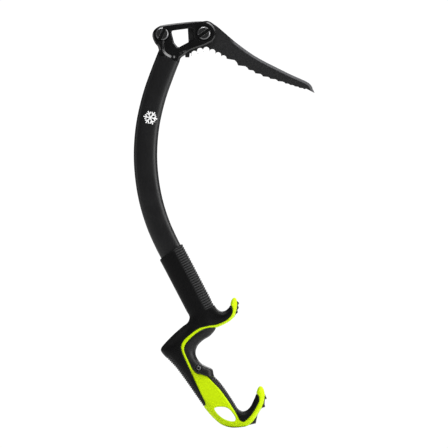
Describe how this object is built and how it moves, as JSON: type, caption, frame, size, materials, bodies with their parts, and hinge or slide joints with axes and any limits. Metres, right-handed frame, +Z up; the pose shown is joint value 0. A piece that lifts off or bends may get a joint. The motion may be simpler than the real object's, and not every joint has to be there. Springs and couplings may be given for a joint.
{
  "type": "technical ice axe",
  "caption": "Ice climbing tool with a bowed tubular shaft, a bolted toothed pick, and an offset moulded grip with upper and lower pommels and a clip-in eye.",
  "frame": {"origin": "under the middle of the upright axe, at the level of the handle's lowest point, in the plane that halves its thickness", "axes": "+Z up along the upright axe towards its head, +X the way the pick points, Y across the thickness with the bolt heads at -Y and the nuts at +Y"},
  "size_m": [0.2226, 0.0298, 0.4999],
  "materials": {
    "shaft_black": "satin black anodised tube",
    "cast_black": "glossy black coated cast steel",
    "pick_grey": "matte dark grey phosphated steel",
    "bolt_black": "black oxide steel, machined",
    "bare_steel": "plain stainless steel",
    "rubber_black": "matte overmoulded rubber",
    "spacer_black": "hard moulded nylon, satin",
    "frame_lime": "moulded lime nylon, satin",
    "spike_black": "dark stamped steel with worn edges"
  },
  "bodies": {
    "axe": {"shaft": "shaft_black", "head_casting": "cast_black", "pick": "pick_grey", "rear_spacer": "pick_grey", "pick_bolt_nut": "bolt_black", "rear_bolt_nut": "bolt_black", "upper_grip_sleeve": "rubber_black", "handle_frame": "frame_lime", "frame_rivet": "bare_steel", "palm_grip": "rubber_black", "front_grip": "rubber_black", "finger_spacer": "spacer_black", "spacer_screw_nut": "bare_steel", "upper_tooth_plate": "spike_black", "upper_plate_pin": "bare_steel", "lower_spike_plate": "spike_black", "lower_plate_pin": "bare_steel"},
    "pick_bolt_carrier": {"pick_bolt_washer": "bare_steel"},
    "pick_bolt": {"pick_bolt": "bolt_black"},
    "rear_bolt_carrier": {"rear_bolt_washer": "bare_steel"},
    "rear_bolt": {"rear_bolt": "bolt_black"},
    "spacer_screw_carrier": {"spacer_screw_washer": "bare_steel"},
    "spacer_screw": {"spacer_screw": "bolt_black"}
  },
  "joints": [
    {"name": "pick_bolt_back_out", "type": "slide", "parent": "axe", "child": "pick_bolt_carrier", "axis": [0, -1, 0], "range_m": [0, 0.005]},
    {"name": "pick_bolt_turn", "type": "hinge", "parent": "pick_bolt_carrier", "child": "pick_bolt", "pos_m": [-0.025, 0, 0.485], "axis": [0, -1, 0], "range_deg": [0, 1440]},
    {"name": "rear_bolt_back_out", "type": "slide", "parent": "axe", "child": "rear_bolt_carrier", "axis": [0, -1, 0], "range_m": [0, 0.005]},
    {"name": "rear_bolt_turn", "type": "hinge", "parent": "rear_bolt_carrier", "child": "rear_bolt", "pos_m": [-0.0765, 0, 0.484], "axis": [0, -1, 0], "range_deg": [0, 1440]},
    {"name": "spacer_screw_back_out", "type": "slide", "parent": "axe", "child": "spacer_screw_carrier", "axis": [0, -1, 0], "range_m": [0, 0.0021]},
    {"name": "spacer_screw_turn", "type": "hinge", "parent": "spacer_screw_carrier", "child": "spacer_screw", "pos_m": [-0.0315, 0, 0.073], "axis": [0, -1, 0], "range_deg": [0, 1080]}
  ],
  "couplings": [
    {"joint": "pick_bolt_back_out", "follows": "pick_bolt_turn", "m_per_rad": 0.00019894},
    {"joint": "rear_bolt_back_out", "follows": "rear_bolt_turn", "m_per_rad": 0.00019894},
    {"joint": "spacer_screw_turn", "follows": "spacer_screw_back_out", "rad_per_m": 8976}
  ]
}
